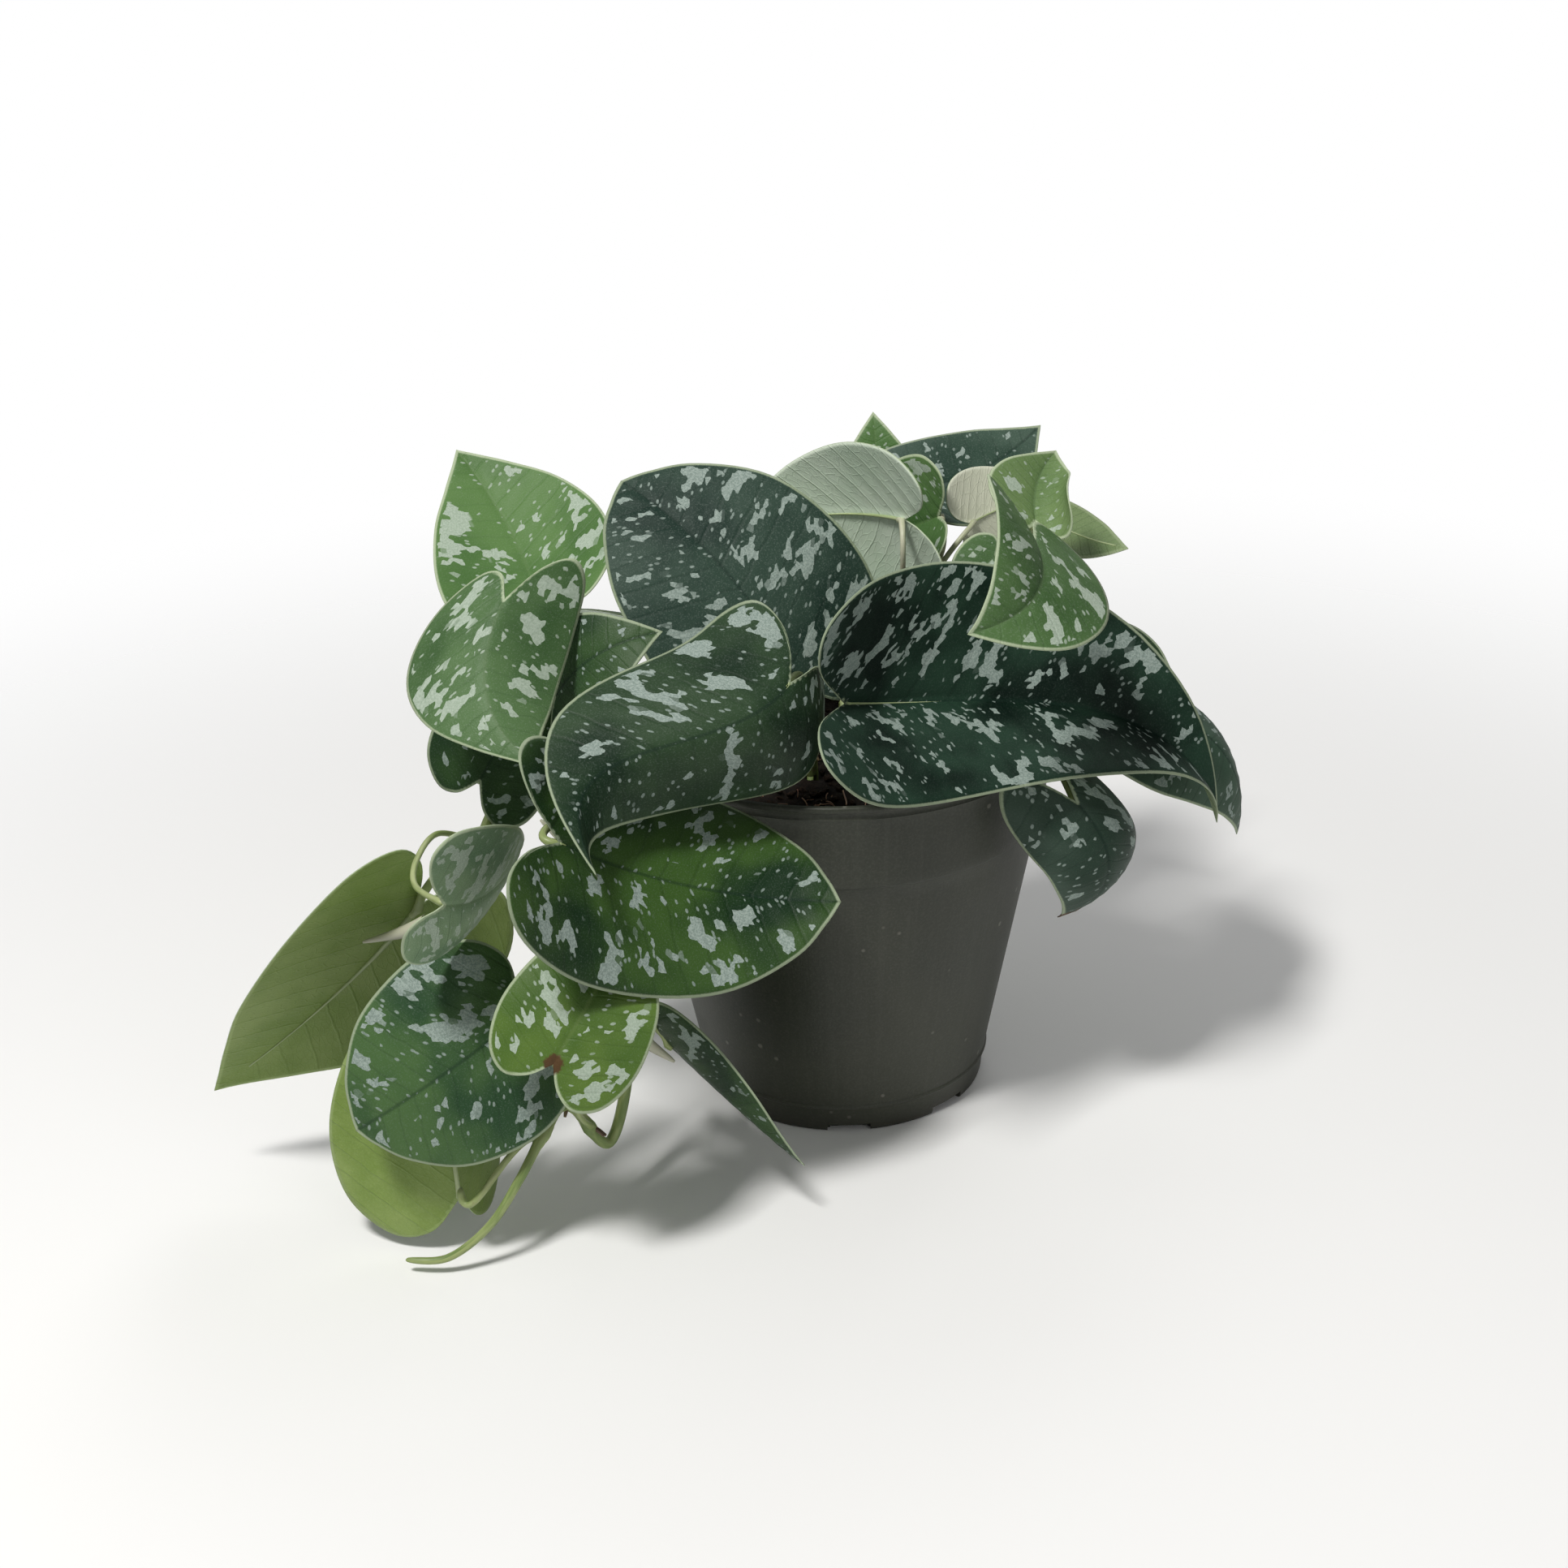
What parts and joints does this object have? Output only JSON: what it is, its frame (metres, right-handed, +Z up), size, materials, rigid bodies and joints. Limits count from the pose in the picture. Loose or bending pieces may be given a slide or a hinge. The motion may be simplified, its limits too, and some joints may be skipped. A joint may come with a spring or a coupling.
{
  "type": "potted pothos plant",
  "caption": "Trailing satin pothos with silver-splashed heart-shaped leaves on green stems, growing from potting soil in a tapered olive-green plastic nursery pot.",
  "frame": {"origin": "centre of the pot's underside, on the surface the pot stands on", "axes": "+Z up along the pot's axis; +X to the right and the longest side, away from the trailing stems; -Y towards the front, where the widest leaves arch over the rim"},
  "size_m": [0.2861, 0.2114, 0.1888],
  "materials": {
    "pot": "matte, faintly scuffed",
    "soil": "rough granular potting mix",
    "stem": "smooth green skin",
    "leaf_dark": "velvety, silver blotches",
    "leaf_blue_green": "velvety, silver blotches",
    "leaf_mid": "velvety, silver blotches",
    "leaf_light": "velvety, silver blotches",
    "leaf_underside": "pale satin underside"
  },
  "bodies": {
    "root": {"pot": "pot", "soil": "soil", "leaf_front_left_arching": "leaf_dark", "leaf_front_right_arching": "leaf_dark", "leaf_front_rim_hanging": "leaf_dark", "leaf_centre_large": "leaf_dark", "leaf_right_drooping": "leaf_dark", "leaf_right_shoulder": "leaf_dark", "leaf_rim_right_hanging": "leaf_dark", "leaf_back_right_dark": "leaf_dark", "leaf_low_left_arching": "leaf_dark", "leaf_floor_narrow": "leaf_dark", "leaf_left_under": "leaf_dark", "leaf_left_small_heart": "leaf_blue_green", "leaf_left_heart": "leaf_mid", "leaf_left_inner": "leaf_mid", "leaf_right_heart": "leaf_mid", "leaf_right_inner": "leaf_mid", "leaf_upper_left": "leaf_light", "leaf_right_young_rolled": "leaf_light", "leaf_back_upright": "leaf_light", "leaf_centre_narrow": "leaf_light", "leaf_low_left_pale": "leaf_light", "leaf_far_left_reversed": "leaf_underside", "leaf_low_left_reversed": "leaf_underside", "leaf_centre_reversed": "leaf_underside", "leaf_right_reversed": "leaf_underside", "leaf_right_pointed": "leaf_underside", "leaf_back_left": "leaf_mid", "leaf_back_centre": "leaf_dark", "leaf_back_right": "leaf_mid", "leaf_back_rim_hanging": "leaf_dark", "vine_centre": "stem", "vine_left_trailing": "stem", "vine_left_upper": "stem", "vine_right": "stem", "vine_back_right": "stem", "vine_right_low": "stem", "vine_back": "stem"}
  },
  "joints": []
}
